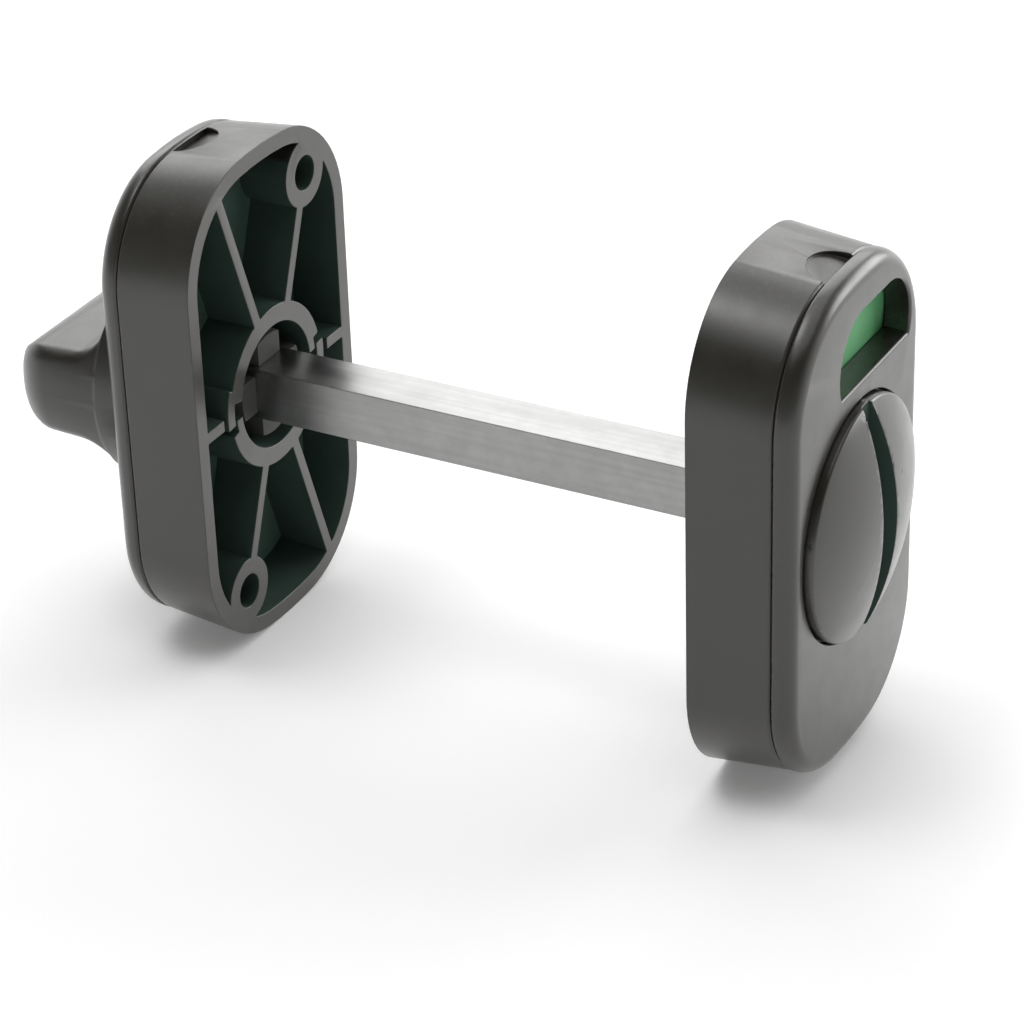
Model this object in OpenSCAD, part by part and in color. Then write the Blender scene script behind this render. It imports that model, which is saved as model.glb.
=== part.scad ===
/* [Door plates] */
// Width of each plate at the door
plate_w = 42.6; // [42.4:0.1:48]
// Height of each plate at the door
plate_h = 76.6; // [76.4:0.2:90]
// Radius of the plate's corners
corner_r = 17; // [15:0.5:18]
// Radius of the bowed top and bottom edges
end_arc_r = 60; // [50:1:80]
// Inward lean of the long sides, from the door to the joint
side_draft = 0.3; // [0.1:0.1:0.6]
// Inward lean of the top and bottom, from the door to the joint
end_draft = 1.3; // [0.5:0.1:1.6]
// Distance between the two plates, which is the door's thickness
door_gap = 76.5; // [34:0.5:90]

/* [Base] */
// Distance from the door to the joint with the cover
base_depth = 12.3; // [11.8:0.1:14]
// Thickness of the base's outer wall at the door
wall = 2.6; // [2:0.1:3]
// Thickness of the web between the pockets and the front recess
web_t = 1.6; // [1.2:0.1:2]
// Depth of the front recess that the mechanism lies in
front_recess = 2.8; // [2.6:0.1:3.4]
// Thickness of the rim round the front recess
rim_t = 1.5; // [1.2:0.1:1.7]
// Thickness of the stiffening ribs
rib_t = 1.8; // [1.2:0.1:2.4]
// Half-angle between the ribs to the corners without a screw
rib_spread = 19; // [16:1:24]
// Width of the groove along the joint
joint_bevel = 0.35; // [0.2:0.05:0.5]

/* [Spring ring] */
// Outer radius of the split ring round the hub
ring_r = 12.4; // [12:0.1:13]
// Radial thickness of the split ring
ring_t = 2.9; // [2.4:0.1:3]
// Radial thickness of the spring tongues
tongue_t = 1.9; // [1.4:0.1:2]
// Radial gap between a tongue and the arc that it overlaps
tongue_gap = 0.4; // [0.3:0.05:0.6]

/* [Screw bosses] */
// Sideways place of each screw hole from the spindle
screw_y = 11.1; // [10:0.1:11.5]
// Distance of each screw hole from the plate's nearer end
screw_end = 9.1; // [8.3:0.1:10.3]
// Diameter of the screw holes
screw_d = 5.2; // [4:0.1:5.6]
// Outer diameter of the bosses
boss_d = 10.4; // [9.8:0.1:11]
// Diameter of the seat for the screw's head
head_d = 8.8; // [7:0.1:9]
// Depth of the head's seat below the web's front
head_depth = 3.2; // [2:0.1:4]

/* [Pry notch] */
// Radius of the half-round notch in the top edge
notch_r = 4.6; // [3:0.1:5]
// Depth of the notch at the joint
notch_depth = 1; // [0.8:0.1:1.7]

/* [Cover] */
// Height of the cover's flat face above the joint
cover_h = 3.3; // [3.2:0.1:4.5]
// Depth of the rounded front edge
edge_depth = 2.6; // [2:0.1:2.8]
// Width of the rounded edge along the sides
edge_side = 2.1; // [1:0.1:2.2]
// Width of the rounded edge at the top and bottom
edge_end = 2.2; // [1.4:0.1:2.6]
// Thickness of the cover's face
cover_t = 1.6; // [1.2:0.1:1.8]
// Depth of the lip that centres the cover in the base
lip_depth = 1; // [0.9:0.05:1.2]
// Thickness of that lip
lip_t = 1.2; // [0.8:0.1:1.3]
// Radius of the snap beads on the lip
bead_r = 0.4; // [0.3:0.05:0.45]

/* [Knob and release disc] */
// Radius of the knob's flange and of the release disc
disc_r = 17.5; // [16:0.05:17.6]
// Depth of the round recess in the cover
disc_recess = 1.3; // [0.8:0.1:1.4]
// Gap round the disc in its recess
disc_gap = 0.3; // [0.3:0.05:0.5]
// Height of the disc's rim above the cover's face
disc_rim = 1.1; // [0.6:0.1:1.6]
// Height of the dome above the rim
dome_rise = 3.85; // [2.5:0.05:5]
// Radius of the round edge of the disc's rim
rim_edge_r = 0.6; // [0.3:0.1:0.8]
// Width of the coin slot at its floor
slot_w = 2.4; // [1.6:0.1:3]
// Depth of the coin slot below the top of the dome
slot_depth = 4.15; // [3:0.05:4.3]
// Lean of each wall of the coin slot
slot_lean = 15.5; // [5:0.5:20]

/* [Grip bar] */
// Height of the knob above the cover's face
grip_h = 22.4; // [20:0.1:26]
// Radius of the bowed end of the knob
knob_dome_r = 37; // [34:0.5:50]
// Thickness of the grip bar at its root
bar_t = 14.3; // [13.8:0.1:16.5]
// Lean of the bar's flanks
bar_lean = 1; // [0.5:0.1:2]
// Radius of the hollow between flank and flange
flank_r = 5; // [3:0.1:6]
// Radius of the bar's upright corners
bar_corner_r = 2.2; // [1.5:0.1:2.4]
// Radius of the bar's outer edge
bar_edge_r = 4.4; // [2:0.1:4.6]
// Height of the flange's face above the cover's face
flange_rise = 4.5; // [3:0.1:5]

/* [Hub and spindle] */
// Radius of the hub that turns in the web and in the cover
hub_r = 8.3; // [8.2:0.05:8.6]
// Running clearance of the hub, on the radius
hub_clear = 0.08; // [0.03:0.01:0.1]
// Play of knob and disc along the spindle, on each side
axial_play = 0.15; // [0.1:0.05:0.3]
// Distance between the door and the ends of the spring arms
arm_setback = 1; // [0.5:0.1:2]
// Width of each of the four spring arms
arm_w = 5.8; // [4:0.1:7]
// Taper of the arms' ends, on the radius
arm_taper = 0.4; // [0.1:0.1:0.6]
// Height of the hooks that catch behind the web
hook_h = 0.6; // [0.3:0.1:0.8]
// Width of the square spindle
spindle_w = 8; // [7:0.1:8.1]
// Clearance on each flat of the spindle
spindle_clear = 0.05; // [0.02:0.01:0.06]
// Chamfer on the edges of the spindle's ends
spindle_chamfer = 0.8; // [0.4:0.1:1.2]
// Length of spindle held in the knob, from the arms' ends
spindle_in_knob = 20; // [14:0.5:24]
// Length of spindle engaged in the release disc
spindle_in_disc = 9; // [6:0.5:11]

/* [Indicator] */
// Width of the window
window_w = 23.5; // [16:0.1:23.6]
// Height of the window
window_h = 10.4; // [8:0.1:10.6]
// Sideways shift of the window from the spindle, away from the screw
window_y = 5.5; // [4:0.05:5.5]
// Distance of the window's middle from the plate's top
window_end = 12.7; // [12.2:0.1:12.8]
// Radius of the window's two upper corners
window_top_r = 7.5; // [6:0.1:8]
// Radius of the window's two lower corners
window_low_r = 2.8; // [1:0.1:3]
// Thickness of the wall round the window, behind the face
frame_t = 0.8; // [0.6:0.1:1]
// Thickness of the green shutter
shutter_t = 1.3; // [1:0.05:1.4]
// Overlap of the shutter beyond the window
shutter_lap = 0.5; // [0.3:0.05:0.6]
// Gap on each side of the shutter
shutter_gap = 0.25; // [0.2:0.05:0.3]
// Thickness of the red field behind the shutter
field_t = 0.5; // [0.3:0.05:0.6]

/* [Rack and pinion] */
// Module of the teeth
tooth_module = 0.9; // [0.9:0.01:0.92]
// Thinning of each tooth on its pitch line
backlash = 0.12; // [0.08:0.01:0.2]
// Width of the rack's leg behind its teeth
leg_w = 2.3; // [1.6:0.1:3]

/* [Hidden] */
$fn = 96;
// Facets on each corner arc and on each bowed end
corner_n = 16;
end_n = 4;
// Steps round each rounded edge
edge_n = 8;
// Overrun of a cutting tool past the face that it cuts
over = 0.5;
// Small clearance between mouldings that are pushed together
fit_clear = 0.1;
// Colours of the mouldings, the steel and the indicator
shell_grey = [0.29, 0.28, 0.27];
base_grey = [0.36, 0.35, 0.34];
steel = [0.78, 0.78, 0.76];
vacant_green = [0.25, 0.6, 0.36];
occupied_red = [0.75, 0.12, 0.1];

// Depths from the door, outwards through one unit
face_depth = base_depth + cover_h;
web_front = base_depth - front_recess;
web_back = web_front - web_t;
field_front = web_front + field_t;
shutter_back = field_front + shutter_gap;
shutter_front = shutter_back + shutter_t;
frame_end = shutter_front + shutter_gap;
lip_end = base_depth - lip_depth;
recess_floor = face_depth - disc_recess;
floor_t = 1.4;
disc_back = recess_floor + axial_play;
rim_depth = face_depth + disc_rim;
knob_reach = face_depth + grip_h;
dome_top = rim_depth + dome_rise;
dome_r = (pow(disc_r, 2) + pow(dome_rise, 2)) / (2 * dome_rise);
slot_floor = dome_top - slot_depth;
socket_w = spindle_w + 2 * spindle_clear;
hook_front = web_back - axial_play;

// Window and screws, from the plate's ends
screw_z = plate_h / 2 - screw_end;
window_z = plate_h / 2 - window_end;
shutter_low = window_z - window_h / 2 - shutter_lap;
// Gap between the shutter or the red field and the recess's wall
recess_clear = 0.35;

// Rack and pinion, with four teeth to each quarter turn
teeth = 16;
pitch_r = tooth_module * teeth / 2;
tooth_pitch = PI * tooth_module;
pressure_angle = 20;
dedendum = 1.25 * tooth_module;
rack_addendum = 0.8 * tooth_module;
travel = pitch_r * PI / 2;
leg_y = pitch_r + dedendum;

// Outline of a plate with straight sides, round corners and bowed ends, drawn in by
// iy at the sides and iz at the ends; points run anticlockwise in y and z
function plate_outline(iy, iz) =
    let (a = plate_w / 2 - iy,
         h = plate_h / 2 - iz,
         r = corner_r - iy,
         big = end_arc_r - iz,
         cy = a - r,
         cz = h - big + sqrt(pow(big - r, 2) - pow(cy, 2)),
         phi = asin(cy / (big - r)),
         half = concat(
             [for (i = [0 : corner_n]) let (t = i * (90 - phi) / corner_n)
                 [cy + r * cos(t), cz + r * sin(t)]],
             [for (i = [1 : end_n - 1]) let (t = 90 - phi + 2 * phi * i / end_n)
                 [big * cos(t), h - big + big * sin(t)]],
             [for (i = [0 : corner_n]) let (t = 90 + phi + i * (90 - phi) / corner_n)
                 [-cy + r * cos(t), cz + r * sin(t)]]))
    concat(half, -1 * half);

// Solid through rings of points that share one count and one direction
module skin(rings) {
    n = len(rings[0]);
    last = len(rings) - 1;
    points = [for (ring = rings) each ring];
    sides = [for (k = [0 : last - 1]) for (i = [0 : n - 1])
        let (a = k * n + i, b = k * n + (i + 1) % n)
        each [[a, a + n, b + n], [a, b + n, b]]];
    back = [for (i = [0 : n - 1]) i];
    front = [for (i = [n - 1 : -1 : 0]) last * n + i];
    polyhedron(points, concat([back], sides, [front]), convexity = 6);
}

// Solid through plate outlines, each given as [depth, inset at sides, inset at ends]
module plate_loft(sections) {
    skin([for (s = sections) [for (p = plate_outline(s[1], s[2])) [s[0], p[0], p[1]]]]);
}

// Flat shape in y and z, extruded outwards from one depth to another
module slab(from, to) {
    translate([from, 0, 0]) rotate([90, 0, 90]) linear_extrude(to - from) children();
}

// Round bar along the spindle's axis, from one depth to another
module shaft(from, to, r, r2 = undef) {
    translate([from, 0, 0]) rotate([0, 90, 0])
        cylinder(h = to - from, r1 = r, r2 = is_undef(r2) ? r : r2);
}

// Outline of the front recess, or of what fits in it, drawn in by a clearance
module recess_outline(inset = 0) {
    polygon(plate_outline(side_draft + rim_t + inset, end_draft + rim_t + inset));
}

// Sector of a circle between two angles under 180 degrees apart
module sector(r, from, to) {
    steps = 6;
    polygon(concat([[0, 0]],
        [for (i = [0 : steps]) let (t = from + (to - from) * i / steps)
            2 * r * [cos(t), sin(t)]]));
}

module arc(r_in, r_out, from, to) {
    intersection() {
        difference() {
            circle(r_out);
            circle(r_in);
        }
        sector(r_out, from, to);
    }
}

// One half of the split ring: a full arc, its thinned end and the tongue at its start
module half_ring() {
    r_in = ring_r - ring_t;
    overlap_r = ring_r - tongue_t / 2;
    arc_from = 10;
    arc_to = 166;
    thin_to = 176;
    tongue_from = -7;
    tongue_to = 20;
    arc(r_in, ring_r, arc_from, arc_to);
    arc(r_in, overlap_r - tongue_gap, arc_to - 1, thin_to);
    arc(overlap_r, overlap_r + tongue_t, tongue_from, tongue_to);
}

module rib(angle, from, to) {
    rotate(angle) translate([from, -rib_t / 2]) square([to - from, rib_t]);
}

// Places the children at the two screws, which lie on one diagonal
module at_screws() {
    for (side = [-1, 1]) translate([side * screw_y, -side * screw_z]) children();
}

// Ring, ribs and bosses that stand in the pockets, level with the door
module pocket_features() {
    screw_angle = atan2(screw_z, -screw_y);
    mid = ring_r - ring_t / 2;
    tongue_reach = ring_r + tongue_t / 2 + 1;
    for (turn = [0, 180]) rotate(turn) {
        half_ring();
        rib(screw_angle, mid, plate_h / 2);
        rib(90 - rib_spread, mid, plate_h / 2);
        rib(0, tongue_reach, plate_w / 2);
    }
    at_screws() circle(d = boss_d);
}

// Low ribs on the web's front, which guide the shutter and its leg
module guide_outline() {
    guide_t = 1.4;
    screw_gap = 0.4;
    short = 2;
    left = window_y - window_w / 2 - shutter_lap - shutter_gap;
    right = window_y + window_w / 2 + shutter_lap + shutter_gap;
    leg_side = leg_y + leg_w + shutter_gap;
    low = shutter_low - travel;
    high = screw_z - head_d / 2 - screw_gap;
    translate([left - guide_t, low]) square([guide_t, high - low]);
    translate([right, low]) square([plate_w / 2 - right, high - low - short]);
    translate([leg_side, -low - travel / 2]) square([guide_t, 2 * low + travel / 2 - screw_gap]);
}

// Grooves or beads of the snap fit, along the straight sides of the lip
module snap_beads(r) {
    bead_l = 8;
    bead_places = [-14, 6];
    bead_y = plate_w / 2 - side_draft - rim_t - fit_clear;
    for (side = [-1, 1]) for (z = bead_places)
        translate([lip_end + lip_depth / 2, side * bead_y, z]) cylinder(h = bead_l, r = r);
}

// Base moulding: drafted wall, web, pockets with ribs, split ring and bosses
module base_moulding() {
    web_share = web_back / base_depth;
    lean = 0.3;
    top = plate_h / 2 - end_draft - joint_bevel;
    color(base_grey) difference() {
        plate_loft([
            [0, 0, 0],
            [base_depth - joint_bevel, side_draft, end_draft],
            [base_depth, side_draft + joint_bevel, end_draft + joint_bevel]]);
        difference() {
            plate_loft([
                [-over, wall, wall],
                [0, wall, wall],
                [web_back, wall + side_draft * web_share + lean,
                           wall + end_draft * web_share + lean]]);
            slab(0, web_back + over) pocket_features();
        }
        difference() {
            slab(web_front, base_depth + over) recess_outline();
            slab(web_front - over, lip_end - fit_clear) guide_outline();
        }
        shaft(web_back - over, web_front + over, hub_r + hub_clear);
        slab(-over, web_front + over) at_screws() circle(d = screw_d);
        slab(web_front - head_depth, web_front + over) at_screws() circle(d = head_d);
        translate([base_depth, 0, top - notch_depth])
            rotate([0, atan2(notch_depth, notch_r), 0]) cylinder(h = 3 * notch_depth, r = notch_r);
        snap_beads(bead_r + fit_clear);
    }
}

// Window outline with a margin all round
module window_outline(margin = 0) {
    y0 = window_y - window_w / 2 - margin;
    y1 = window_y + window_w / 2 + margin;
    z0 = window_z - window_h / 2 - margin;
    z1 = window_z + window_h / 2 + margin;
    low_r = window_low_r + margin;
    top_r = window_top_r + margin;
    intersection() {
        translate([y0, z0]) square([y1 - y0, z1 - z0]);
        union() {
            for (y = [y0 + low_r, y1 - low_r]) translate([y, z0 + low_r]) circle(low_r);
            for (y = [y0 + top_r, y1 - top_r]) translate([y, z1 - top_r]) circle(top_r);
            translate([y0 + low_r, z0]) square([y1 - y0 - 2 * low_r, z1 - z0 - top_r]);
            translate([y0, z0 + low_r]) square([y1 - y0, z1 - z0 - top_r - low_r]);
            translate([y0 + top_r, z0]) square([y1 - y0 - 2 * top_r, z1 - z0]);
        }
    }
}

// Cover with rounded edges, a centring lip and a round recess for knob or disc
module cover_moulding(window) {
    cavity_inset = fit_clear + lip_t;
    color(shell_grey) difference() {
        union() {
            difference() {
                union() {
                    plate_loft(concat(
                        [[base_depth, side_draft + joint_bevel, end_draft + joint_bevel],
                         [base_depth + joint_bevel, side_draft, end_draft]],
                        [for (k = [0 : edge_n]) let (t = 90 * k / edge_n)
                            [face_depth - edge_depth * (1 - sin(t)),
                             side_draft + edge_side * (1 - cos(t)),
                             end_draft + edge_end * (1 - cos(t))]]));
                    slab(lip_end, base_depth + over) recess_outline(fit_clear);
                    snap_beads(bead_r);
                }
                slab(lip_end - over, face_depth - cover_t) recess_outline(cavity_inset);
            }
            shaft(recess_floor - floor_t, face_depth - cover_t / 2, disc_r + disc_gap + frame_t);
            if (window) slab(frame_end, face_depth - cover_t / 2) intersection() {
                window_outline(frame_t);
                recess_outline(fit_clear);
            }
        }
        shaft(recess_floor, face_depth + over, disc_r + disc_gap);
        shaft(recess_floor - floor_t - over, recess_floor + over, hub_r + hub_clear);
        if (window) {
            slab(frame_end - over, face_depth + over) window_outline();
            slab(lip_end - over, frame_end) window_outline(shutter_lap + shutter_gap);
        }
    }
}

// Four spring arms round a square socket, tapered at their ends and hooked behind the web
module hub(front, socket_end) {
    taper_l = 2.5;
    hook_l = 3.2;
    hook_land = 0.5;
    hook_foot = hub_r - 0.3;
    arm_root = web_front - over;
    difference() {
        union() {
            shaft(arm_setback, arm_setback + taper_l, hub_r - arm_taper, hub_r);
            shaft(arm_setback + taper_l, front, hub_r);
            shaft(hook_front - hook_l, hook_front - hook_land, hook_foot, hub_r + hook_h);
            shaft(hook_front - hook_land, hook_front, hub_r + hook_h);
        }
        translate([arm_setback - over, -socket_w / 2, -socket_w / 2])
            cube([socket_end - arm_setback + over, socket_w, socket_w]);
        for (turn = [0 : 90 : 270]) rotate([turn, 0, 0])
            translate([arm_setback - over, arm_w / 2, arm_w / 2])
                cube([arm_root - arm_setback + over, hub_r, hub_r]);
    }
}

// Section of the knob: a circle cut to half-thickness h, with round corners r
function bar_outline(radius, h, r) =
    let (yc = sqrt(max(0, pow(radius - r, 2) - pow(h - r, 2))),
         phi = atan2(h - r, yc),
         quarter = concat(
             [for (i = [0 : corner_n]) radius * [cos(phi * i / corner_n), sin(phi * i / corner_n)]],
             [for (i = [1 : end_n]) let (t = phi + (90 - phi) * i / end_n)
                 [yc + r * cos(t), h - r + r * sin(t)]]),
         upper = concat(quarter, [for (i = [len(quarter) - 1 : -1 : 0]) [-quarter[i][0], quarter[i][1]]]),
         count = len(upper))
    concat(upper, [for (i = [1 : count - 2]) -1 * upper[i]]);

// Depth of the knob's bowed end over a point
function bowed_end(y, z) =
    knob_reach - knob_dome_r + sqrt(pow(knob_dome_r, 2) - pow(y, 2) - pow(z, 2));

module knob_body() {
    face = face_depth + flange_rise;
    lip_r = 0.2;
    fillet_top = face + flank_r;
    lean = (knob_reach - fillet_top) * tan(bar_lean);
    half_root = bar_t / 2;
    half_tip = half_root - lean;
    flat_rings = concat(
        [[disc_back, disc_r, disc_r], [face - lip_r, disc_r, disc_r],
         [face, disc_r - lip_r, disc_r - lip_r]],
        [for (k = [0 : edge_n]) let (t = 90 * k / edge_n)
            [face + flank_r * (1 - cos(t)), disc_r - lip_r * cos(t),
             half_root + flank_r * (1 - sin(t))]]);
    edge_rings = [for (k = [0 : edge_n - 1]) let (t = 90 * k / edge_n)
        [for (p = bar_outline(disc_r - bar_edge_r * (1 - cos(t)),
                              half_tip - bar_edge_r * (1 - cos(t)), bar_corner_r))
            [bowed_end(p[0], p[1]) - bar_edge_r * (1 - sin(t)), p[0], p[1]]]];
    top_outline = bar_outline(disc_r - bar_edge_r, half_tip - bar_edge_r, bar_corner_r);
    cap_shares = [1, 0.75, 0.5, 0.25, 0.04];
    cap_rings = [for (share = cap_shares) [for (p = share * top_outline)
        [bowed_end(p[0], p[1]), p[0], p[1]]]];
    skin(concat(
        [for (s = flat_rings) [for (p = bar_outline(s[1], s[2], bar_corner_r)) [s[0], p[0], p[1]]]],
        edge_rings, cap_rings));
}

module knob() {
    socket_end = arm_setback + spindle_in_knob;
    color(shell_grey) difference() {
        union() {
            knob_body();
            hub(disc_back + over, disc_back + over);
        }
        translate([disc_back - over, -socket_w / 2, -socket_w / 2])
            cube([socket_end - disc_back + over, socket_w, socket_w]);
    }
}

// Involute tooth of the pinion, centred on the first axis
module pinion_tooth() {
    base_r = pitch_r * cos(pressure_angle);
    tip_r = pitch_r + tooth_module;
    steps = 5;
    function involute(r) = let (a = acos(base_r / r)) tan(a) * 180 / PI - a;
    half = 90 / teeth - backlash / 4 / pitch_r * 180 / PI + involute(pitch_r);
    flank = concat([(pitch_r - dedendum - 0.2) * [cos(half), sin(half)]],
        [for (i = [0 : steps]) let (r = base_r + (tip_r - base_r) * i / steps,
                                    t = half - involute(r)) r * [cos(t), sin(t)]]);
    polygon(concat(flank, [for (i = [len(flank) - 1 : -1 : 0]) [flank[i][0], -flank[i][1]]]));
}

// Half-section of the domed disc: radius across, depth upwards, with a round rim
module domed_profile() {
    centre = dome_top - dome_r;
    edge_y = disc_r - rim_edge_r;
    edge_x = centre + sqrt(pow(dome_r - rim_edge_r, 2) - pow(edge_y, 2));
    translate([0, disc_back]) square([disc_r, edge_x - disc_back]);
    translate([edge_y, edge_x]) circle(rim_edge_r);
    intersection() {
        translate([0, disc_back]) square([disc_r, dome_top - disc_back]);
        translate([0, centre]) circle(dome_r, $fn = 360);
        polygon([[0, centre], [2 * edge_y, 2 * edge_x - centre], [0, 2 * edge_x - centre]]);
    }
}

// Domed release disc: coin slot outside, toothed band and spring arms on its hub
module release() {
    band_gap = shutter_gap;
    slot_top = slot_depth + over;
    slot_floor_t = 1.8;
    socket_end = slot_floor - slot_floor_t;
    color(shell_grey) difference() {
        union() {
            rotate([0, 90, 0]) rotate_extrude($fn = 180) domed_profile();
            hub(disc_back + over, disc_back + over);
        }
        translate([disc_back - over, -socket_w / 2, -socket_w / 2])
            cube([socket_end - disc_back + over, socket_w, socket_w]);
        slab(shutter_back - band_gap, shutter_front + band_gap) difference() {
            circle(hub_r + over);
            circle(pitch_r - dedendum);
            for (i = [0 : teeth - 1]) rotate(i * 360 / teeth) pinion_tooth();
        }
        translate([slot_floor, 0, -disc_r - 1]) linear_extrude(2 * disc_r + 2)
            polygon([[0, -slot_w / 2], [0, slot_w / 2],
                     [slot_top, slot_w / 2 + slot_top * tan(slot_lean)],
                     [slot_top, -slot_w / 2 - slot_top * tan(slot_lean)]]);
    }
}

// Green panel and, below it, the leg that carries the rack
module shutter() {
    root_half = tooth_pitch / 4 - backlash / 4 + dedendum * tan(pressure_angle);
    tip_half = tooth_pitch / 4 - backlash / 4 - rack_addendum * tan(pressure_angle);
    leg_low = -2 * tooth_pitch;
    color(vacant_green) slab(shutter_back, shutter_front) {
        intersection() {
            window_outline(shutter_lap);
            recess_outline(recess_clear);
        }
        translate([leg_y, leg_low]) square([leg_w, shutter_low + over - leg_low]);
        for (i = [-2 : teeth / 4 + 1]) translate([0, (i + 0.5) * tooth_pitch])
            polygon([[leg_y, -root_half], [leg_y, root_half],
                     [pitch_r - rack_addendum, tip_half], [pitch_r - rack_addendum, -tip_half]]);
    }
}

// Red field, seated on the web behind the window
module field() {
    color(occupied_red) slab(web_front, field_front) intersection() {
        window_outline(shutter_lap);
        recess_outline(recess_clear);
    }
}

// Square steel bar with chamfered ends
module spindle() {
    from = -arm_setback - spindle_in_knob;
    to = door_gap + arm_setback + spindle_in_disc;
    c = spindle_chamfer;
    module square_ring(x, w) translate([x, -w / 2, -w / 2]) cube([0.01, w, w]);
    color(steel) union() {
        translate([from + c, -spindle_w / 2, -spindle_w / 2])
            cube([to - from - 2 * c, spindle_w, spindle_w]);
        hull() {
            square_ring(from, spindle_w - 2 * c);
            square_ring(from + c, spindle_w);
        }
        hull() {
            square_ring(to - 0.01, spindle_w - 2 * c);
            square_ring(to - c - 0.01, spindle_w);
        }
    }
}

// The inside unit faces the other way; the outside unit stands across the door
module inside() rotate([0, 0, 180]) children();
module outside() translate([door_gap, 0, 0]) children();

module inside_base() inside() base_moulding();
module inside_cover() inside() cover_moulding(window = false);
module turn_knob() inside() knob();
module square_spindle() spindle();
module outside_base() outside() base_moulding();
module outside_cover() outside() cover_moulding(window = true);
module release_disc() outside() release();
module indicator_shutter() outside() shutter();
module occupied_field() outside() field();

inside_base();
inside_cover();
turn_knob();
square_spindle();
outside_base();
outside_cover();
release_disc();
indicator_shutter();
occupied_field();
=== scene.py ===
"""Toilet indicator bolt: two satin grey plates, a steel spindle, a turn knob and a release disc."""
import math
from contextlib import contextmanager

import bmesh
import bpy
import numpy as np
from mathutils import Matrix


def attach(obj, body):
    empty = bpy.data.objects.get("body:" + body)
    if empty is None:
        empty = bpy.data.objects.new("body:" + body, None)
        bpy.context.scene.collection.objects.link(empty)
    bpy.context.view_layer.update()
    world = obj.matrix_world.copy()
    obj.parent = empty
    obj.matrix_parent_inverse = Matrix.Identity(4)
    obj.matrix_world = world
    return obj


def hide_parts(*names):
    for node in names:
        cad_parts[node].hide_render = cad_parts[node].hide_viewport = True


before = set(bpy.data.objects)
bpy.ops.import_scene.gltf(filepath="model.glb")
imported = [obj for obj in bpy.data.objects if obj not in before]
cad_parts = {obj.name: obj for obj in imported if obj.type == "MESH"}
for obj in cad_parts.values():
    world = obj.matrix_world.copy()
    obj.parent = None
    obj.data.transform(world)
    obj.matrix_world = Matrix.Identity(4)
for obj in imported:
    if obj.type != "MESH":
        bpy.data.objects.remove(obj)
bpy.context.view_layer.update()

# Sizes and places, in millimetres; a depth is counted outwards from the unit's own door face
MM = 0.001
FLOOR_Z = -38.31
DOOR_GAP = 76.5
FACE_DEPTH = 15.6
RECESS_R = 17.8
RECESS_EDGE_R = RECESS_R + 0.3
LIP_DEPTH = 12.25
LIP_ROOT_DEPTH = 12.35
LIP_Y = 19.9
LIP_Z = 24
GROOVE_DEPTH = 8.2
INNER_WALL_Y = 19.45
INNER_DEPTHS = (7.0, 12.4)
POCKET_DEPTHS = (0.3, 7.95)
OUTER_WALL_Y = 19.6
OUTER_WALL_Z = 32.5
OUTER_WALL_R = 33.5
NOTCH_BACK_DEPTH = 7.0
NOTCH_HALF = 4.8
NOTCH_LOW_Z = 34.0
KNOB_R = 17.5
FLANGE_X = -20.1
LEDGE = 0.25
HUB_ROOT = -13.9
SLOT_BED = DOOR_GAP + 15.3
SLOT_HALF = 2.4

# Distances in millimetres within which two places count as the same, as close and as near
SAME = 0.01
CLOSE = 0.05
NEAR = 0.1
WELD = 0.004

# Angles in degrees, and the least cosine between a face's normal and an axis
SHARP_ANGLE = 32
HUB_CREASE_ANGLE = 7
FLAT_ANGLE = 0.4
SQUARE_COSINE = 0.99
NOTCH_COSINE = 0.95
DRAFT_COSINE = 0.9

# Edge radii in millimetres, and the share of the way up to its rim that the notch's bed rises
BASE_ROLL = 0.14
COVER_ROLL = 0.45
SPINDLE_ROLL = 0.18
DISC_ROLL = 0.08
SHUTTER_ROLL = 0.08
CARD_ROLL = 0.05
NOTCH_RISE = 0.8

# Colours, as linear red, green and blue
BASE_GREY = (0.026, 0.0245, 0.0185)
SHELL_GREY = (0.0255, 0.024, 0.0185)
KNOB_GREY = (0.0245, 0.023, 0.0178)
# Painted highlight: the pale grey that convex edges are lightened towards
EDGE_HIGHLIGHT_GREY = (0.08, 0.078, 0.070)
HUB_GREY = (0.093, 0.095, 0.086)
# Painted shade: cool colours for the pockets and the coin slot; the pocket beds are painted lighter
# than the walls, as painted light
POCKET_WALL_PAINTED_SHADE = (0.044, 0.072, 0.060)
POCKET_BED_PAINTED_LIGHT = (0.078, 0.130, 0.108)
VACANT_GREEN = (0.135, 0.450, 0.190)
OCCUPIED_RED = (0.48, 0.03, 0.025)
STEEL_DARK = (0.335, 0.335, 0.33)
STEEL_LIGHT = (0.365, 0.365, 0.36)
STEEL_LINE = (0.27, 0.27, 0.265)
STEEL_STAIN = (0.24, 0.235, 0.22)
DUST = (0.42, 0.41, 0.38)
WHITE = (1.0, 1.0, 1.0)

# Camera: yaw, rise and roll in degrees, and its place along its own axes in millimetres
CAMERA_TURN = (29.07, 29.55, -1.89)
CAMERA_PLACE = (34.388, -18.714, 532.033)
CAMERA_LENS = 127.86

# Floor and lamps, in metres
FLOOR_HALF = 2.5
LAMP_DISTANCE = 4.5
LAMP_TARGET = (0.04, 0.0, 0.0)


# Tests of places
def depth(x):
    """How far a place, or each of many, lies outwards from the door face of its own unit."""
    return np.maximum(-x, x - DOOR_GAP)


def near_lip(y, z):
    """Whether a place lies along the straight sides, where a cover's lip enters its base."""
    return abs(y) < LIP_Y and abs(z) < LIP_Z


def in_recess(y, z):
    """Whether a place lies in a cover's round recess or on its edge."""
    return math.hypot(y, z) < RECESS_EDGE_R


def on_front(x):
    """Whether a place lies in the front face of a cover."""
    return abs(depth(x) - FACE_DEPTH) < CLOSE


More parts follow.
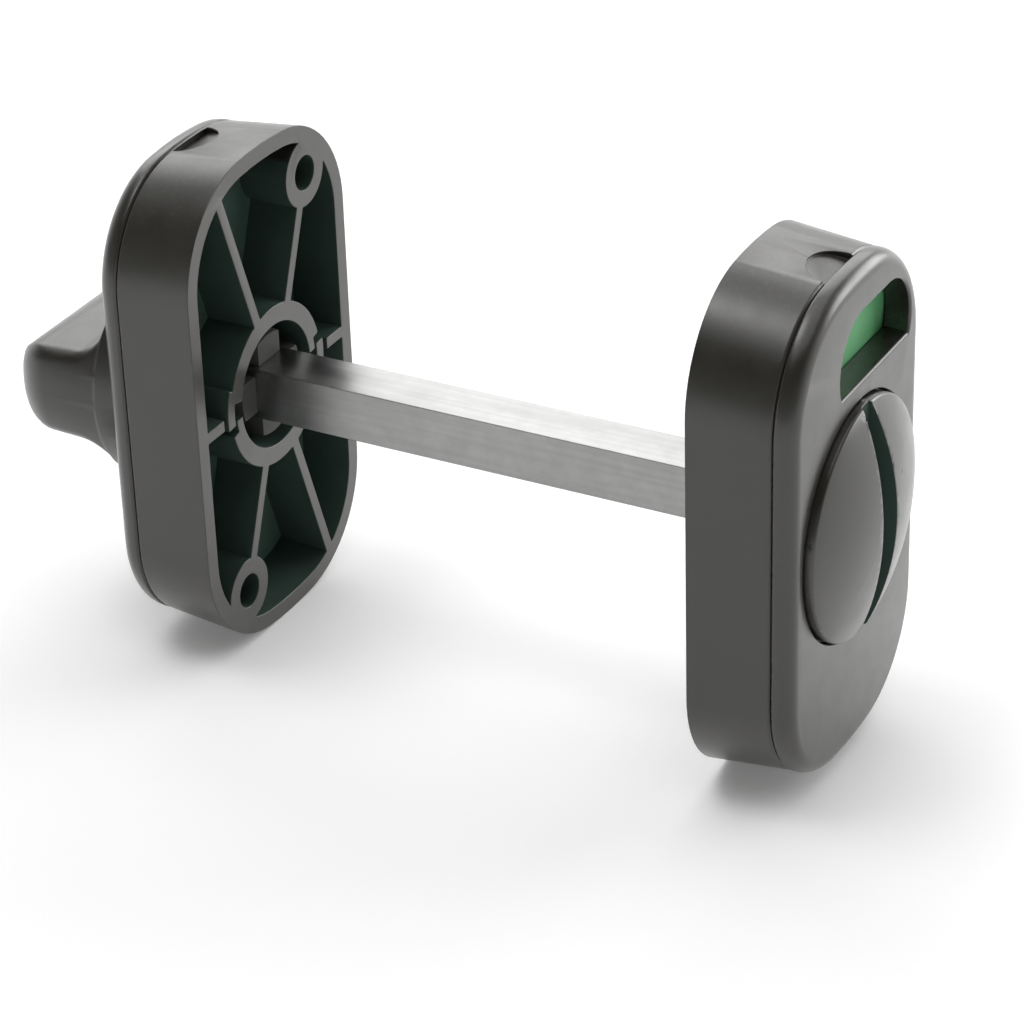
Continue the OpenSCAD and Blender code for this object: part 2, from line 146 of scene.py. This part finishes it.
# Share of the edge radius that an edge gets, from the first rule that both its ends meet
COVER_EDGES = (
    (lambda x, y, z: depth(x) < LIP_DEPTH, 0.0),
    (lambda x, y, z: near_lip(y, z) and depth(x) < LIP_ROOT_DEPTH, 0.0),
    (lambda x, y, z: in_recess(y, z), 0.55),
    (lambda x, y, z: on_front(x) and x > DOOR_GAP and not in_recess(y, z), 1.0),
    (lambda x, y, z: on_front(x), 0.8),
    (lambda x, y, z: True, 0.33),
)
BASE_EDGES = (
    (lambda x, y, z: near_lip(y, z) and depth(x) > GROOVE_DEPTH, 0.0),
    (lambda x, y, z: True, 1.0),
)


# Mesh work
@contextmanager
def editing(mesh):
    """Lends an editable form of a mesh, and writes it back at the end."""
    shape = bmesh.new()
    shape.from_mesh(mesh)
    yield shape
    shape.to_mesh(mesh)
    shape.free()


def face_places(mesh):
    """Middle of every face, in millimetres, and its normal."""
    found = []
    for key in ("center", "normal"):
        values = np.empty(len(mesh.polygons) * 3)
        mesh.polygons.foreach_get(key, values)
        found.append(values.reshape(-1, 3))
    return found[0] / MM, found[1]


def add_object(name, mesh, body, replaces):
    """Puts a finished mesh in the scene as one piece on a body, in the place of its CAD solid."""
    piece = bpy.data.objects.new(name, mesh)
    bpy.context.scene.collection.objects.link(piece)
    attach(piece, body)
    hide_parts(*replaces)
    return piece


def welded_copy(node):
    """Mesh of a solid with its loose triangles welded and its flat faces joined."""
    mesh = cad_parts[node].data.copy()
    mesh.materials.clear()
    with editing(mesh) as shape:
        bmesh.ops.remove_doubles(shape, verts=shape.verts, dist=WELD * MM)
        bmesh.ops.dissolve_degenerate(shape, dist=WELD * MM, edges=shape.edges)
        bmesh.ops.dissolve_limit(shape, angle_limit=math.radians(FLAT_ANGLE),
                                 verts=shape.verts, edges=shape.edges)
    return mesh


def smooth(mesh):
    """Smooth shading that stops at sharp edges."""
    mesh.polygons.foreach_set("use_smooth", np.ones(len(mesh.polygons), dtype=bool))
    mesh.set_sharp_from_angle(angle=math.radians(SHARP_ANGLE))


def weigh_edges(mesh, rules):
    """Gives each sharp edge its share of the edge radius."""
    with editing(mesh) as shape:
        weights = shape.edges.layers.float.new("bevel_weight_edge")
        for edge in shape.edges:
            if edge.calc_face_angle(0.0) < math.radians(SHARP_ANGLE):
                continue
            ends = [vert.co / MM for vert in edge.verts]
            for accepts, weight in rules:
                if all(accepts(*end) for end in ends):
                    edge[weights] = weight
                    break


def split_hidden(mesh):
    """Splits the wide inner faces with holes in them, which would fold when edges are softened."""
    shallow, deep = INNER_DEPTHS
    with editing(mesh) as shape:
        chosen = []
        for face in shape.faces:
            middle = face.calc_center_median() / MM
            level = abs(face.normal.x) > SQUARE_COSINE and shallow < depth(middle.x) < deep
            beside_lip = abs(abs(middle.y) - INNER_WALL_Y) < NEAR
            wall = abs(face.normal.y) > SQUARE_COSINE and beside_lip
            if len(face.verts) > 4 and (level or wall):
                chosen.append(face)
        bmesh.ops.triangulate(shape, faces=chosen)


def soften_edges(piece, width):
    """Small radius on the edges of a piece that have a share of it, or else on all sharp ones."""
    bevel = piece.modifiers.new("edge radius", "BEVEL")
    bevel.width = width * MM
    bevel.segments = 2
    weighed = "bevel_weight_edge" in piece.data.attributes
    bevel.limit_method = "WEIGHT" if weighed else "ANGLE"
    bevel.angle_limit = math.radians(SHARP_ANGLE)
    bevel.use_clamp_overlap = False
    bevel.harden_normals = True
    bevel.miter_outer = "MITER_ARC"


# Shader nodes
def add_node(tree, kind, **settings):
    """One shader node with its settings."""
    made = tree.nodes.new(kind)
    for key, value in settings.items():
        setattr(made, key, value)
    return made


def feed(tree, socket, value):
    """Gives an input a constant, or the value of another node's output."""
    if isinstance(value, bpy.types.NodeSocket):
        tree.links.new(value, socket)
    else:
        socket.default_value = value


def set_inputs(tree, node, **values):
    """Feeds a node's inputs by name, with an underscore for each space."""
    for key, value in values.items():
        feed(tree, node.inputs[key.replace("_", " ")], value)


def new_group(name, inputs, outputs):
    """Shader node group with number inputs and outputs, and its two end nodes."""
    group = bpy.data.node_groups.new(name, "ShaderNodeTree")
    for labels, direction in ((inputs, "INPUT"), (outputs, "OUTPUT")):
        for label in labels:
            group.interface.new_socket(name=label, in_out=direction, socket_type="NodeSocketFloat")
    return group, group.nodes.new("NodeGroupInput"), group.nodes.new("NodeGroupOutput")


def object_coords(tree):
    """The object's own coordinates, in metres."""
    return add_node(tree, "ShaderNodeTexCoord").outputs["Object"]


def combine(tree, operation, first, second):
    """Maths on two values, each a socket or a number."""
    made = add_node(tree, "ShaderNodeMath", operation=operation)
    feed(tree, made.inputs[0], first)
    feed(tree, made.inputs[1], second)
    return made.outputs[0]


def noise(tree, coords, scale, detail=2.0, roughness=0.5):
    """Fractal noise value; the scale may be a socket."""
    made = add_node(tree, "ShaderNodeTexNoise")
    set_inputs(tree, made, Vector=coords, Scale=scale, Detail=detail, Roughness=roughness)
    return made.outputs["Fac"]


def spread(tree, value, source, target=(0.0, 1.0)):
    """Value carried from one range to another, and held at its ends."""
    made = add_node(tree, "ShaderNodeMapRange", clamp=True)
    for place, number in enumerate((value, *source, *target)):
        feed(tree, made.inputs[place], number)
    return made.outputs[0]


def mix_colour(tree, factor, first, second, blend="MIX"):
    """Mix of two colours, each a socket or red, green and blue."""
    made = add_node(tree, "ShaderNodeMix", data_type="RGBA", blend_type=blend)
    feed(tree, made.inputs[0], factor)
    for place, colour in ((6, first), (7, second)):
        feed(tree, made.inputs[place], (*colour, 1.0) if isinstance(colour, tuple) else colour)
    return made.outputs[2]


# Effects that the materials share
def grain_group():
    """Fine eroded grain of a mould, as a height, with broad tone and gloss variation."""
    group, given, put = new_group("mould grain", ["Grain scale", "Tone"],
                                  ["Height", "Tone", "Gloss"])
    coords = object_coords(group)
    scale = given.outputs["Grain scale"]
    fine = noise(group, coords, scale, detail=3.0)
    pits = add_node(group, "ShaderNodeTexVoronoi")
    set_inputs(group, pits, Vector=coords, Scale=combine(group, "MULTIPLY", scale, 0.6))
    pitting = combine(group, "MULTIPLY", pits.outputs["Distance"], 0.35)
    broad = noise(group, coords, 45.0, detail=3.0, roughness=0.55)
    cloud = noise(group, coords, 260.0, detail=4.0, roughness=0.6)
    drift = combine(group, "ADD", combine(group, "MULTIPLY", broad, 0.6),
                    combine(group, "MULTIPLY", cloud, 0.4))
    swing = spread(group, drift, (0.3, 0.7), (-1.0, 1.0))
    change = combine(group, "MULTIPLY", swing, given.outputs["Tone"])
    set_inputs(group, put, Height=combine(group, "ADD", fine, pitting),
               Tone=combine(group, "ADD", 1.0, change), Gloss=spread(group, cloud, (0.35, 0.65)))
    return group


def edge_group():
    """Mask of convex edges, broken up by noise: hands and cleaning have polished them, and where it
    lightens their colour it is a painted highlight.
    """
    group, given, put = new_group("edge polish and highlight", ["Reach"], ["Mask"])
    point = add_node(group, "ShaderNodeNewGeometry").outputs["Pointiness"]
    rough = noise(group, object_coords(group), 900.0, detail=4.0, roughness=0.65)
    ragged = combine(group, "MULTIPLY", combine(group, "SUBTRACT", rough, 0.5), 0.012)
    lifted = combine(group, "ADD", point, ragged)
    set_inputs(group, put, Mask=spread(group, lifted, (0.525, given.outputs["Reach"])))
    return group


def dust_group():
    """Mask of the fine dust that settles on faces turned upwards."""
    group, given, put = new_group("settled dust", ["Amount"], ["Mask"])
    parts = add_node(group, "ShaderNodeSeparateXYZ")
    set_inputs(group, parts, Vector=add_node(group, "ShaderNodeNewGeometry").outputs["Normal"])
    upward = spread(group, parts.outputs["Z"], (0.4, 1.0))
    flecks = noise(group, object_coords(group), 1500.0, detail=5.0, roughness=0.7)
    settled = combine(group, "MULTIPLY", upward, spread(group, flecks, (0.52, 0.75)))
    set_inputs(group, put, Mask=combine(group, "MULTIPLY", settled, given.outputs["Amount"]))
    return group


EFFECTS = {"grain": grain_group(), "edge": edge_group(), "dust": dust_group()}


def use_effect(tree, name, **values):
    """One shared effect placed in a material with its own values."""
    made = tree.nodes.new("ShaderNodeGroup")
    made.node_tree = EFFECTS[name]
    set_inputs(tree, made, **values)
    return made.outputs


def new_material(name):
    """Material with its tree, which holds only its surface shader and its output."""
    material = bpy.data.materials.new(name)
    material.use_nodes = True
    tree = material.node_tree
    tree.nodes.clear()
    shader = tree.nodes.new("ShaderNodeBsdfPrincipled")
    output = tree.nodes.new("ShaderNodeOutputMaterial")
    tree.links.new(shader.outputs[0], output.inputs["Surface"])
    return material, tree, shader


def add_bump(tree, shader, height, relief):
    """Bump from a height of about 0 to 1, with its relief in millimetres."""
    bump = add_node(tree, "ShaderNodeBump")
    set_inputs(tree, bump, Distance=relief * MM, Strength=1.0, Height=height)
    set_inputs(tree, shader, Normal=bump.outputs["Normal"])


# Materials
def satin_plastic(name, colour, roughness):
    """Moulded plastic: eroded grain, drifting tone, polished edges lightened by a painted
    highlight, a satin skin and dust.
    """
    material, tree, shader = new_material(name)
    grain = use_effect(tree, "grain", Grain_scale=2200.0, Tone=0.07)
    edge = use_effect(tree, "edge", Reach=0.60)
    dust = use_effect(tree, "dust", Amount=0.10)
    toned = mix_colour(tree, 1.0, colour, grain["Tone"], "MULTIPLY")
    # Painted highlight: convex edges lightened towards a paler grey, while their lower roughness is
    # real polish
    worn_and_highlit = mix_colour(tree, combine(tree, "MULTIPLY", edge["Mask"], 0.1), toned, EDGE_HIGHLIGHT_GREY)
    dusted = mix_colour(tree, dust["Mask"], worn_and_highlit, DUST)
    matt = spread(tree, grain["Gloss"], (0.0, 1.0), (roughness - 0.04, roughness + 0.04))
    polished = combine(tree, "SUBTRACT", matt, combine(tree, "MULTIPLY", edge["Mask"], 0.03))
    dulled = combine(tree, "ADD", polished, combine(tree, "MULTIPLY", dust["Mask"], 0.5))
    set_inputs(tree, shader, Base_Color=dusted, Roughness=dulled, Coat_Weight=0.6,
               Coat_Roughness=roughness - 0.04)
    add_bump(tree, shader, grain["Height"], relief=0.003)
    return material


def pocket_plastic(name, colour):
    """Dull plastic, duller than the shell, with swirls of flow; in the pockets and the coin slot
    its cool colour is painted shade, lighter on the pocket beds as painted light.
    """
    material, tree, shader = new_material(name)
    grain = use_effect(tree, "grain", Grain_scale=900.0, Tone=0.16)
    toned = mix_colour(tree, 1.0, colour, grain["Tone"], "MULTIPLY")
    dull = spread(tree, grain["Gloss"], (0.0, 1.0), (0.5, 0.66))
    set_inputs(tree, shader, Base_Color=toned, Roughness=dull, Specular_IOR_Level=0.1)
    add_bump(tree, shader, grain["Height"], relief=0.02)
    return material


def spindle_steel():
    """Drawn steel: fine lines along the bar, mottled plating and dull handling marks."""
    material, tree, shader = new_material("spindle steel")
    coords = object_coords(tree)
    drawn = add_node(tree, "ShaderNodeMapping")
    set_inputs(tree, drawn, Vector=coords, Scale=(30.0, 1200.0, 1200.0))
    lines = noise(tree, drawn.outputs["Vector"], 1.0, detail=1.0)
    mottle = noise(tree, coords, 420.0, detail=3.0, roughness=0.55)
    stain = noise(tree, coords, 130.0, detail=3.0, roughness=0.55)
    tone = mix_colour(tree, spread(tree, mottle, (0.38, 0.62)), STEEL_DARK, STEEL_LIGHT)
    lined = mix_colour(tree, spread(tree, lines, (0.35, 0.65), (0.0, 0.35)), tone, STEEL_LINE)
    stained = mix_colour(tree, spread(tree, stain, (0.5, 0.75), (0.0, 0.3)), lined, STEEL_STAIN)
    set_inputs(tree, shader, Base_Color=stained, Metallic=1.0, Anisotropic=0.35,
               Roughness=spread(tree, mottle, (0.3, 0.7), (0.285, 0.305)))
    add_bump(tree, shader, lines, relief=0.006)
    return material


def indicator_plastic(name, colour, roughness):
    """Self-coloured indicator plastic: even tone, slight flow marks, a soft sheen and convex edges
    paler as a painted highlight.
    """
    material, tree, shader = new_material(name)
    grain = use_effect(tree, "grain", Grain_scale=3400.0, Tone=0.05)
    edge = use_effect(tree, "edge", Reach=0.62)
    toned = mix_colour(tree, 1.0, colour, grain["Tone"], "MULTIPLY")
    pale = tuple(min(1.0, 1.25 * part + 0.02) for part in colour)
    # Painted highlight: convex edges lightened towards a paler colour
    worn_and_highlit = mix_colour(tree, combine(tree, "MULTIPLY", edge["Mask"], 0.4), toned, pale)
    sheen = spread(tree, grain["Gloss"], (0.0, 1.0), (roughness - 0.05, roughness + 0.05))
    set_inputs(tree, shader, Base_Color=worn_and_highlit, Roughness=sheen)
    add_bump(tree, shader, grain["Height"], relief=0.004)
    return material


MATERIALS = {
    "base": satin_plastic("base plastic", BASE_GREY, 0.36),
    "cover": satin_plastic("cover plastic", SHELL_GREY, 0.32),
    "knob": satin_plastic("knob plastic", KNOB_GREY, 0.36),
    "hub": pocket_plastic("hub plastic", HUB_GREY),
    "disc": satin_plastic("disc plastic", SHELL_GREY, 0.32),
    # Painted shade in the pockets and the coin slot, and painted light on the pocket beds
    "pocket": pocket_plastic("pocket wall painted shade", POCKET_WALL_PAINTED_SHADE),
    "pocket bed": pocket_plastic("pocket bed painted light", POCKET_BED_PAINTED_LIGHT),
    "steel": spindle_steel(),
    "green": indicator_plastic("vacant green", VACANT_GREEN, 0.4),
    "red": indicator_plastic("occupied red", OCCUPIED_RED, 0.42),
}


# Changes that some pieces need
def slope_notch(mesh):
    """Tilts the pry notch's flat bed, so that it rises to just under its rim at the back."""

    def vert_depth(vert):
        return depth(vert.co.x / MM)

    def in_notch(vert):
        across = abs(vert.co.y) < NOTCH_HALF * MM
        return vert_depth(vert) > NOTCH_BACK_DEPTH and across and vert.co.z > NOTCH_LOW_Z * MM

    with editing(mesh) as shape:
        beds = [face for face in shape.faces
                if face.normal.z > NOTCH_COSINE and len(face.verts) > 8
                and all(in_notch(vert) for vert in face.verts)]
        bed = max(beds, key=lambda face: face.calc_area())
        front = max(vert_depth(vert) for vert in bed.verts)
        back = min(bed.verts, key=vert_depth)
        reach = front - vert_depth(back)
        low = min(vert.co.z for vert in bed.verts)
        above = [edge.other_vert(back) for edge in back.link_edges if bed not in edge.link_faces]
        rise = NOTCH_RISE * (max(other.co.z for other in above) - low)
        for vert in bed.verts:
            vert.co.z = low + rise * (front - vert_depth(vert)) / reach


def shade_pockets(mesh, outward):
    """Gives the faces in a base's pockets the second material, painted shade, and their beds the
    third, a lighter painted light.
    """
    rim_depth, bed_depth = POCKET_DEPTHS
    centre, normal = face_places(mesh)
    level = depth(centre[:, 0])
    across, up = np.abs(centre[:, 1]), np.abs(centre[:, 2])
    facing_out = normal[:, 1] * centre[:, 1] + normal[:, 2] * centre[:, 2] > 0
    far_out = (across > OUTER_WALL_Y) | (up > OUTER_WALL_Z) | (np.hypot(across, up) > OUTER_WALL_R)
    inside = (level > rim_depth) & (level < bed_depth) & ~(facing_out & far_out)
    bed = inside & (normal[:, 0] * outward < -DRAFT_COSINE)
    # Painted shade on the pocket walls, painted light on their beds
    mesh.polygons.foreach_set("material_index", inside.astype(np.int32) + bed)


def close_ledge(mesh):
    """Sets the foot of the knob's ends flush with its flange, and fills the flange's face anew."""

    def height(vert):
        return abs(vert.co.x / MM - FLANGE_X)

    def radius(vert):
        return math.hypot(vert.co.y, vert.co.z) / MM

    def on_ledge(vert):
        return height(vert) < LEDGE and KNOB_R - LEDGE < radius(vert) < KNOB_R - SAME

    def on_rim(vert):
        beyond = vert.co.x + NEAR * MM
        return any(edge.other_vert(vert).co.x > beyond for edge in vert.link_edges)

    with editing(mesh) as shape:
        ledge = [vert for vert in shape.verts if on_ledge(vert)]
        foot = [vert for vert in ledge if height(vert) < SAME]
        rim = [vert for vert in foot if on_rim(vert)]
        for vert in ledge:
            scale = KNOB_R / radius(vert)
            vert.co.y *= scale
            vert.co.z *= scale
        for vert in foot:
            if vert not in rim:
                vert.co = min(rim, key=lambda other: (other.co - vert.co).length).co
        flat = [face for face in shape.faces if all(height(vert) < SAME for vert in face.verts)]
        bmesh.ops.delete(shape, geom=flat, context="FACES_ONLY")
        bmesh.ops.remove_doubles(shape, verts=shape.verts, dist=WELD * MM)
        wires = [edge for edge in shape.edges if not edge.link_faces]
        bmesh.ops.delete(shape, geom=wires, context="EDGES")
        open_edges = [edge for edge in shape.edges if len(edge.link_faces) == 1]
        bmesh.ops.holes_fill(shape, edges=open_edges, sides=0)
        bmesh.ops.recalc_face_normals(shape, faces=shape.faces)
    smooth(mesh)


def shade_hub(mesh):
    """Gives the second material to the hub behind the knob's flange."""
    for face in mesh.polygons:
        face.material_index = int(face.center.x > HUB_ROOT * MM)


def crease_hub(mesh):
    """Marks as sharp the hub's slight bends, which smooth shading would blur."""
    with editing(mesh) as shape:
        for edge in shape.edges:
            on_hub = all((vert.co / MM).x > HUB_ROOT for vert in edge.verts)
            if on_hub and edge.calc_face_angle(0.0) > math.radians(HUB_CREASE_ANGLE):
                edge.smooth = False


def shade_slot(mesh):
    """Gives the walls and the bed of the coin slot the second material, the pockets' painted shade.
    """
    centre, normal = face_places(mesh)
    across = np.abs(centre[:, 1])
    inside = (centre[:, 0] > SLOT_BED - NEAR) & (across < SLOT_HALF)
    walls = inside & (np.abs(normal[:, 1]) > DRAFT_COSINE)
    bed = inside & (normal[:, 0] > SQUARE_COSINE) & (across < 0.5 * SLOT_HALF)
    # Painted shade on the slot's walls and bed
    mesh.polygons.foreach_set("material_index", (walls | bed).astype(np.int32))


# Pieces
def dress(name, node, body, materials, roll=0.0, rules=(), split=True):
    """Welded copy of a solid with smooth faces, an edge radius and its materials."""
    mesh = welded_copy(node)
    for key in materials:
        mesh.materials.append(MATERIALS[key])
    smooth(mesh)
    if rules:
        weigh_edges(mesh, rules)
    if roll and split:
        split_hidden(mesh)
    piece = add_object(name, mesh, body, [node])
    if roll:
        soften_edges(piece, roll)
    return piece


def plate_base(unit, outward):
    """Moulded base of one unit, with its pockets coloured in painted shade and a sloped pry notch.
    """
    base = dress(f"{unit}_plate_base", f"{unit}_base", f"{unit}_housing",
                 ["base", "pocket", "pocket bed"], BASE_ROLL, BASE_EDGES)
    shade_pockets(base.data, outward)
    slope_notch(base.data)


def plate_cover(unit):
    """Smooth cover of one unit."""
    dress(f"{unit}_plate_cover", f"{unit}_cover", f"{unit}_housing",
          ["cover"], COVER_ROLL, COVER_EDGES)


def grip_knob():
    """Turn knob, whose edges are rounded in its solid, with its sprung hub."""
    knob = dress("grip_knob", "turn_knob", "knob_and_spindle", ["knob", "hub"])
    close_ledge(knob.data)
    shade_hub(knob.data)
    crease_hub(knob.data)


def spindle_bar():
    """Square steel spindle."""
    dress("spindle_bar", "square_spindle", "knob_and_spindle", ["steel"],
          SPINDLE_ROLL)


def coin_disc():
    """Domed release disc with its coin slot, which is coloured in painted shade."""
    disc = dress("coin_disc", "release_disc", "release", ["disc", "pocket"],
                 DISC_ROLL)
    shade_slot(disc.data)


def vacant_shutter():
    """Green slide behind the window."""
    dress("vacant_shutter", "indicator_shutter", "shutter", ["green"],
          SHUTTER_ROLL, split=False)


def occupied_card():
    """Red field that the slide uncovers."""
    dress("occupied_card", "occupied_field", "outside_housing", ["red"],
          CARD_ROLL)


# Floor, surroundings, lamps and camera
def pale_floor():
    """Plain white floor that the plates stand on, kept white for the camera and for gloss."""
    steps = np.linspace(-FLOOR_HALF, FLOOR_HALF, 3)
    x, y = np.meshgrid(steps, steps)
    points = np.stack([x, y, np.full_like(x, FLOOR_Z * MM)], axis=-1).reshape(-1, 3)
    mesh = bpy.data.meshes.new("floor")
    corners = np.array([0, 1, 4, 3]) + np.array([[0], [1], [3], [4]])
    mesh.from_pydata(points.tolist(), [], corners.tolist())
    floor = bpy.data.objects.new("floor", mesh)
    bpy.context.scene.collection.objects.link(floor)
    material, tree, shader = new_material("floor white")
    shade = spread(tree, noise(tree, object_coords(tree), 3.0), (0.3, 0.7), (0.80, 0.82))
    path = add_node(tree, "ShaderNodeLightPath")
    seen = combine(tree, "MAXIMUM", path.outputs["Is Camera Ray"], path.outputs["Is Glossy Ray"])
    glow = combine(tree, "MULTIPLY", seen, 0.12)
    set_inputs(tree, shader, Base_Color=mix_colour(tree, seen, shade, WHITE), Roughness=0.9,
               Specular_IOR_Level=0.1, Emission_Color=(*WHITE, 1.0), Emission_Strength=glow)
    mesh.materials.append(material)


def studio_world():
    """Surroundings white along the rear horizon, dim in front and overhead, for every ray."""
    world = bpy.data.worlds.new("studio")
    bpy.context.scene.world = world
    world.use_nodes = True
    tree = world.node_tree
    tree.nodes.clear()
    back = add_node(tree, "ShaderNodeBackground")
    output = add_node(tree, "ShaderNodeOutputWorld")
    parts = add_node(tree, "ShaderNodeSeparateXYZ")
    set_inputs(tree, parts, Vector=add_node(tree, "ShaderNodeTexCoord").outputs["Generated"])
    height = spread(tree, parts.outputs["Z"], (0.22, 0.62), (1.0, 0.10))
    rear = spread(tree, parts.outputs["Y"], (-0.45, 0.15), (0.25, 1.0))
    set_inputs(tree, back, Color=(*WHITE, 1.0), Strength=combine(tree, "MULTIPLY", height, rear))
    tree.links.new(back.outputs[0], output.inputs["Surface"])


def soft_box(name, azimuth, elevation, size, radiance):
    """Area lamp far off in a direction, in degrees from +X and from the floor, facing the part."""
    turn, rise = math.radians(azimuth), math.radians(elevation)
    away = np.array([math.cos(turn) * math.cos(rise), math.sin(turn) * math.cos(rise),
                     math.sin(rise)])
    side = np.array([-math.sin(turn), math.cos(turn), 0.0])
    axes = np.stack([side, np.cross(away, side), away], axis=1)
    lamp = bpy.data.lights.new(name, "AREA")
    lamp.shape = "RECTANGLE"
    lamp.size, lamp.size_y = size
    lamp.energy = radiance * math.pi * size[0] * size[1]
    made = bpy.data.objects.new(name, lamp)
    bpy.context.scene.collection.objects.link(made)
    made.visible_camera = False
    place = Matrix.Translation((LAMP_DISTANCE * away + np.array(LAMP_TARGET)).tolist())
    made.matrix_world = place @ Matrix(axes.tolist()).to_4x4()


def viewpoint():
    """Camera from the right and above, as the photograph was taken."""
    yaw, rise, roll = np.radians(CAMERA_TURN)
    back = np.array([math.sin(yaw) * math.cos(rise), -math.cos(yaw) * math.cos(rise),
                     math.sin(rise)])
    level = np.cross((0.0, 0.0, 1.0), back)
    level = level / np.linalg.norm(level)
    upright = np.cross(back, level)
    across = math.cos(roll) * level + math.sin(roll) * upright
    above = -math.sin(roll) * level + math.cos(roll) * upright
    aside, lift, away = CAMERA_PLACE
    place = MM * (aside * across + lift * above + away * back)
    data = bpy.data.cameras.new("camera")
    data.sensor_width = 36.0
    data.lens = CAMERA_LENS
    data.clip_start = 0.01
    data.clip_end = 20.0
    camera = bpy.data.objects.new("camera", data)
    bpy.context.scene.collection.objects.link(camera)
    axes = Matrix(np.stack([across, above, back], axis=1).tolist())
    camera.matrix_world = Matrix.Translation(place.tolist()) @ axes.to_4x4()
    bpy.context.scene.camera = camera


for unit, outward in (("inside", -1.0), ("outside", 1.0)):
    plate_base(unit, outward)
    plate_cover(unit)
grip_knob()
spindle_bar()
coin_disc()
vacant_shutter()
occupied_card()
pale_floor()
studio_world()
soft_box("back light", azimuth=119.0, elevation=35.0, size=(4.8, 2.6), radiance=2.35)
soft_box("top light", azimuth=119.0, elevation=88.0, size=(5.4, 5.6), radiance=1.15)
soft_box("high light", azimuth=200.0, elevation=71.0, size=(1.7, 1.3), radiance=5.0)
soft_box("side light", azimuth=58.0, elevation=16.0, size=(3.4, 2.0), radiance=4.5)
viewpoint()
bpy.context.scene.view_settings.view_transform = "Standard"
